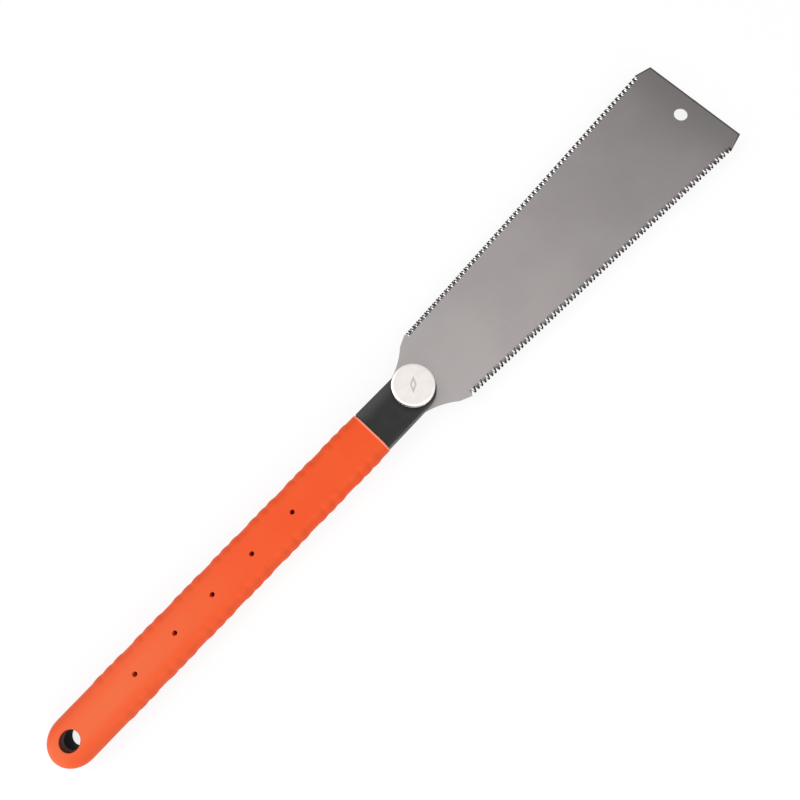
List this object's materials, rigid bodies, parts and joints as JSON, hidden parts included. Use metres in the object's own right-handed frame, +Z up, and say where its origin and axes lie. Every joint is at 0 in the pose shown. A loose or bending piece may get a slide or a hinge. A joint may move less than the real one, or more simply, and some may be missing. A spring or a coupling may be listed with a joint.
{
  "type": "double edged saw",
  "caption": "Long flat pull saw with a tapered steel blade toothed along both edges, clamped by a round screw knob to a straight ribbed orange handle.",
  "frame": {"origin": "under the middle of the saw's length, on the flat back of the grip that it lies on", "axes": "+X towards the toe of the blade, +Y towards the crosscut edge, +Z up through the clamp knob"},
  "size_m": [0.5846, 0.0849, 0.0244],
  "materials": {
    "blade_steel": "brushed, slightly satin",
    "black_plastic": "fine moulded texture",
    "orange_rubber": "satin soft moulding",
    "silver_knob": "bright satin",
    "plated_steel": "zinc plated"
  },
  "bodies": {
    "handle": {"handle_core": "black_plastic", "grip": "orange_rubber", "clamp_nut": "plated_steel"},
    "blade": {"blade": "blade_steel"},
    "knob_washers": {"flat_washer": "plated_steel", "spring_washer": "plated_steel"},
    "clamp_knob": {"clamp_knob": "silver_knob", "clamp_stud": "plated_steel"}
  },
  "joints": [
    {"name": "blade_slide", "type": "slide", "parent": "handle", "child": "blade", "axis": [1, 0, 0], "range_m": [0, 0.05]},
    {"name": "knob_lift", "type": "slide", "parent": "handle", "child": "knob_washers", "axis": [0, 0, 1], "range_m": [0, 0.00375]},
    {"name": "knob_turn", "type": "hinge", "parent": "knob_washers", "child": "clamp_knob", "pos_m": [0.01005, 0, 0.019], "axis": [0, 0, 1], "range_deg": [0, 1080]}
  ],
  "couplings": [
    {"joint": "knob_turn", "follows": "knob_lift", "rad_per_m": 5026.5}
  ]
}
